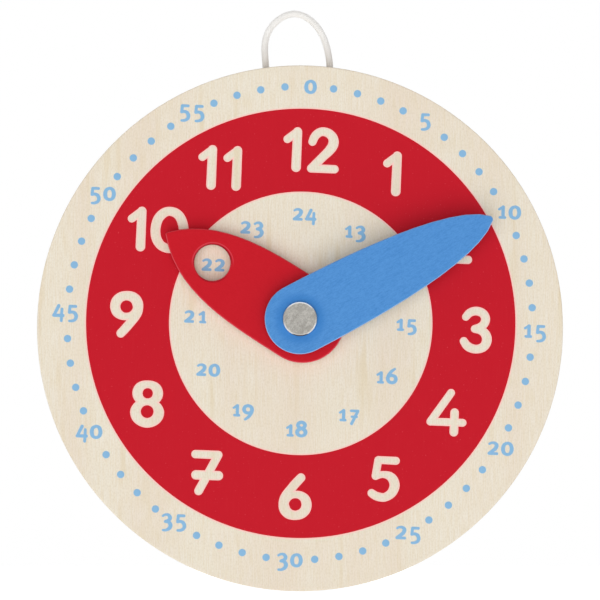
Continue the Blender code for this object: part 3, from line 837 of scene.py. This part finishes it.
def metal(name, tint):
    # worn plate: soft mottling and fine scratches that run two ways, a highlight painted on the rounded edge
    # above and below the pivot, and painted shade along the bottom of the side
    finish = Finish(bpy.data.materials.new(name))
    oneWay, otherWay = metals["scratchTurns"]
    spot = finish.place(oneWay, lacquers["pivot"])
    other = finish.place(otherWay, lacquers["pivot"])
    mottle = finish.cloud(spot, metals["mottleSize"], detail=3.0)
    dull = finish.rise(mottle, *metals["mottleFrom"])
    grit = finish.cloud(other, metals["gritSize"])
    scratch = finish.rise(finish.cloud(spot, metals["scratchSize"]), *metals["scratchFrom"])
    crossing = finish.rise(finish.cloud(other, metals["scratchSize"]), *metals["crossingFrom"])
    worn = scratch * metals["scratchShare"] + crossing * metals["crossingShare"]
    facing = finish.facing()
    edge = 1 - finish.rise(facing, *metals["topFrom"])
    side = 1 - finish.rise(facing, *metals["sideUntil"])
    _, _, up = finish.place(0, lacquers["pivot"])
    above = finish.rise(up, *metals["highlightAbove"])
    below = finish.rise(0 - up, *metals["highlightBelow"])
    # painted shade along the bottom of the head's side
    grime = side * finish.rise(0 - up, *metals["grimeBelow"])
    # painted highlight along the head's rounded edge, above and below the pivot
    paintedShading = edge * (above + below) * (1 - grime)
    color = finish.blend(dull * metals["mottleShare"], tint["color"], tint["dull"])
    color = finish.blend(finish.sway(grit, *metals["gritShare"]), color, tint["dull"])
    color = finish.blend(worn * metals["wornShare"], color, tint["scratchAndHighlight"])
    color = finish.blend(paintedShading, color, tint["scratchAndHighlight"])
    color = finish.blend(grime, color, metals["grime"])
    dulled = tint["roughness"] + mottle * metals["mottleRoughness"]
    finish.give(Base_Color=color, Roughness=dulled - paintedShading * metals["highlightRoughness"], Metallic=1.0,
                Normal=finish.bump(mottle - worn * metals["wornDepth"], metals["relief"]))
    return finish.owner


fibreBoard = {
    "color": shown(34, 33, 32),
    "dust": shown(66, 63, 60),
    "dustSize": (0.0003, 0.0003, 0.0003),
    "dustFrom": (0.5, 0.8),
    "roughness": (0.8, 0.2),
    "relief": 0.00002,
}


def blackFibre(name):
    finish = Finish(bpy.data.materials.new(name))
    grey = finish.cloud(finish.place(), fibreBoard["dustSize"], detail=4.0)
    dust = finish.rise(grey, *fibreBoard["dustFrom"])
    finish.give(Base_Color=finish.blend(dust, fibreBoard["color"], fibreBoard["dust"]),
                Roughness=finish.sway(grey, *fibreBoard["roughness"]),
                Normal=finish.bump(grey, fibreBoard["relief"]))
    return finish.owner


braid = {
    "color": shown(247, 245, 242),
    "sides": shown(255, 254, 252),        # painted highlight along both edges of the cord
    # dark threads, and painted shade in the gaps between the strands
    "darkThreadAndGapShade": shown(208, 202, 194),
    # painted shade where the cord comes close to the board
    "boardShade": shown(178, 168, 158),
    "threadSize": (0.00012, 0.00012, 0.0009),
    "threadFrom": (0.5, 0.75),
    "frontFrom": (0.1, 0.8),              # the facing that parts the cord's sides from its front
    "boardShadeReach": (0.0780, 0.0900),      # painted shade near the board, from its darkest to none, above the board's middle
    "threadShare": 0.3,
    "gapShadeShare": 0.45,
    "sideHighlightShare": 0.45,
    "boardShadeShare": 0.5,
    "roughness": (0.5, 0.2),
    "sheen": 0.8,
    "relief": 0.00003,
}


def whiteBraid(name):
    finish = Finish(bpy.data.materials.new(name))
    spot = finish.place()
    thread = finish.cloud(spot, braid["threadSize"])
    furrow = finish.rise(thread, *braid["threadFrom"])
    lift = finish.node("ShaderNodeAttribute", {"attribute_name": "lift"}, {}, "Fac")
    sides = 1 - finish.rise(finish.facing(), *braid["frontFrom"])
    # painted shade on the cord near the board
    boardShade = 1 - finish.rise(spot[2], *braid["boardShadeReach"])
    color = finish.blend(furrow * braid["threadShare"], braid["color"], braid["darkThreadAndGapShade"])
    # painted shade in the gaps between the strands, where the lift is low
    color = finish.blend((1 - lift) * braid["gapShadeShare"], color, braid["darkThreadAndGapShade"])
    # painted highlight along the cord's edges
    color = finish.blend(sides * braid["sideHighlightShare"], color, braid["sides"])
    color = finish.blend(boardShade * braid["boardShadeShare"], color, braid["boardShade"])
    finish.give(Base_Color=color, Roughness=finish.sway(thread, *braid["roughness"]),
                Normal=finish.bump(thread, braid["relief"]), Sheen_Weight=braid["sheen"])
    return finish.owner


def finishNode(node, material):
    # a CAD piece keeps its shape and gets the better material
    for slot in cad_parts[node].material_slots:
        slot.material = material


finishNode("dial_board", birchPlywood("birch_plywood"))
finishNode("hour_hand", lacquer("red_lacquer", lacquers["red"]))
finishNode("minute_hand", lacquer("blue_lacquer", lacquers["blue"]))
nickelPlate = metal("nickelled_steel", metals["nickel"])
finishNode("pivot_rivet", nickelPlate)
finishNode("back_washer", nickelPlate)
finishNode("spring_washer", metal("spring_steel", metals["spring"]))
washerFibre = blackFibre("black_fibre")
finishNode("board_washer", washerFibre)
finishNode("hand_washer", washerFibre)
redRing.data.materials.append(ink("red_ink", inks["red"]))
pinkBleed.data.materials.append(ink("bled_ink", inks["bleed"]))
blueInk = ink("blue_ink", inks["blue"])
for film in (minuteNumerals, dayNumerals, minuteDots):
    film.data.materials.append(blueInk)
braidedCord.data.materials.append(whiteBraid("white_braid"))
print("materials ready")


# studio: a pale floor well below the clock, a white tent, and a broad and a square sun for each face
studio = {
    "floorHeight": -0.68,
    "floorSize": 30.0,
    "floorColor": shown(246, 246, 245),
    "floorDust": shown(228, 228, 226),
    "dustSize": (0.05, 0.05, 0.05),
    "dustShare": 0.1,
    "floorRoughness": 0.8,
    "floorGlow": (0.36, 0.36, 0.36, 1),   # shows in the picture and lights nothing
    "tentSides": 1.0,                     # what the tent gives to matt surfaces; a camera sees plain white
    "tentEnds": 0.15,                     # in front of the dial and behind the board
    "endsFrom": (0.25, 0.45),             # how squarely to a face the tent's ends come in
    "broadFrom": (-0.090, -0.958, -0.272),   # for the dial; the back's comes from the other side
    "broad": {"spread": 75, "light": 1.745},    # the spread is in degrees across
    "square": {"spread": 12, "light": 0.35},    # shines straight at each face
}
half = studio["floorSize"] / 2
floorMesh = bpy.data.meshes.new("floor")
floorMesh.from_pydata([(-half, -half, studio["floorHeight"]), (half, -half, studio["floorHeight"]),
                       (half, half, studio["floorHeight"]), (-half, half, studio["floorHeight"])],
                      [], [(0, 1, 2, 3)])
floor = bpy.data.objects.new("floor", floorMesh)
scene.collection.objects.link(floor)
tent = Finish(bpy.data.worlds.new("tent"), "Background")
direction = tent.node("ShaderNodeTexCoord", {}, {}, "Generated")
outward = tent.node("ShaderNodeMath", {"operation": "ABSOLUTE"},
                    {0: tent.node("ShaderNodeSeparateXYZ", {}, {0: direction}, "Y")})
lit = tent.choose(tent.rise(outward, *studio["endsFrom"]), studio["tentSides"], studio["tentEnds"])
tent.give(Color=(1, 1, 1, 1), Strength=tent.choose(tent.seen(), lit, 1.0))
scene.world = tent.owner

floorFinish = Finish(bpy.data.materials.new("pale_floor"))
dust = floorFinish.cloud(floorFinish.place(), studio["dustSize"]) * studio["dustShare"]
floorFinish.give(Base_Color=floorFinish.blend(dust, studio["floorColor"], studio["floorDust"]),
                 Roughness=studio["floorRoughness"], Emission_Strength=1.0,
                 Emission_Color=floorFinish.blend(floorFinish.seen(), (0, 0, 0, 1), studio["floorGlow"]))
floorFinish.owner.cycles.emission_sampling = "NONE"
floorMesh.materials.append(floorFinish.owner)


def softSun(name, comesFrom, kind):
    sunData = bpy.data.lights.new(name, "SUN")
    sunData.angle = math.radians(kind["spread"])
    sunData.energy = kind["light"]
    sun = bpy.data.objects.new(name, sunData)
    sun.rotation_euler = (-comesFrom).to_track_quat("-Z", "Y").to_euler()
    sun.visible_glossy = False            # shiny surfaces mirror the tent alone
    scene.collection.objects.link(sun)


for face, way in (("front", 1), ("back", -1)):
    softSun(face + "_broad_sun", Vector(studio["broadFrom"]) * way, studio["broad"])
    softSun(face + "_square_sun", Vector((0, -way, 0)), studio["square"])
floor.visible_shadow = False              # the dial's broad sun shines up through it
scene.view_settings.view_transform = "Standard"
print("studio ready")
